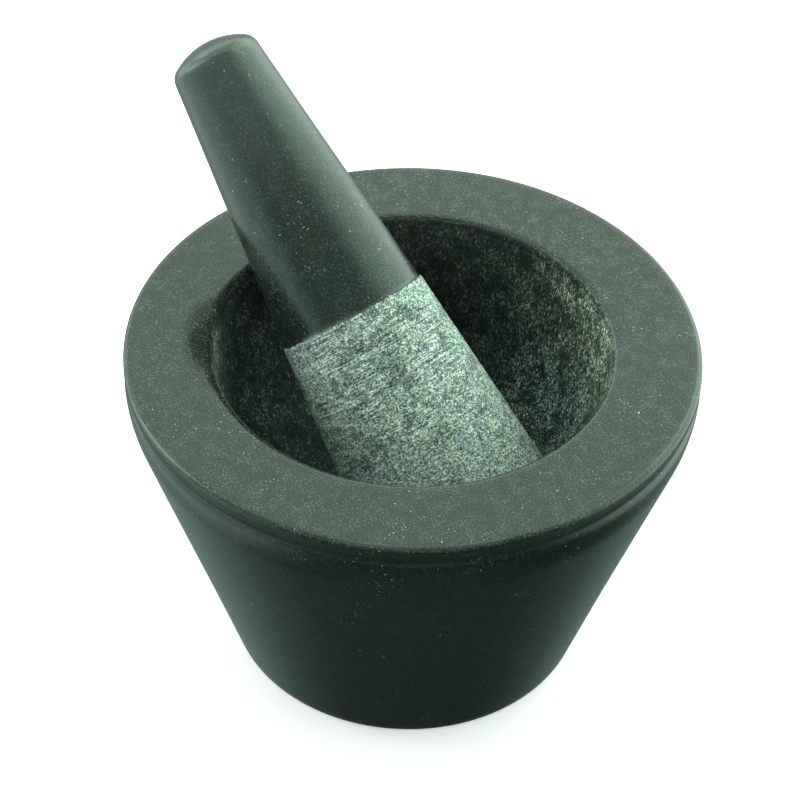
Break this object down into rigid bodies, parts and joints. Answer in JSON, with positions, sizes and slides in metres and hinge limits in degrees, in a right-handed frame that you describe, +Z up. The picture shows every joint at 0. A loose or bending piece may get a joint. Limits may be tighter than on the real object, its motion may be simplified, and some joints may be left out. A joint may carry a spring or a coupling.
{
  "type": "mortar and pestle",
  "caption": "Conical granite mortar with a flat honed rim and a rough round bowl, and a tapered granite pestle that leans in the bowl and lifts out.",
  "frame": {"origin": "centre of the mortar's foot, on the surface it stands on", "axes": "+Z up along the mortar's axis; the pestle's axis lies in the XZ plane, with its grip leaning over the rim towards -X"},
  "size_m": [0.1672, 0.156, 0.1598],
  "materials": {
    "mortar_granite": "honed dark green-grey granite, left rough in the bowl",
    "pestle_granite": "polished dark green-grey granite grip, rough speckled grinding end"
  },
  "bodies": {
    "mortar": {"mortar": "mortar_granite"},
    "pestle": {"pestle": "pestle_granite"}
  },
  "joints": [
    {"name": "pestle_lift", "type": "slide", "parent": "mortar", "child": "pestle", "axis": [0, 0, 1], "range_m": [0, 0.09]}
  ]
}
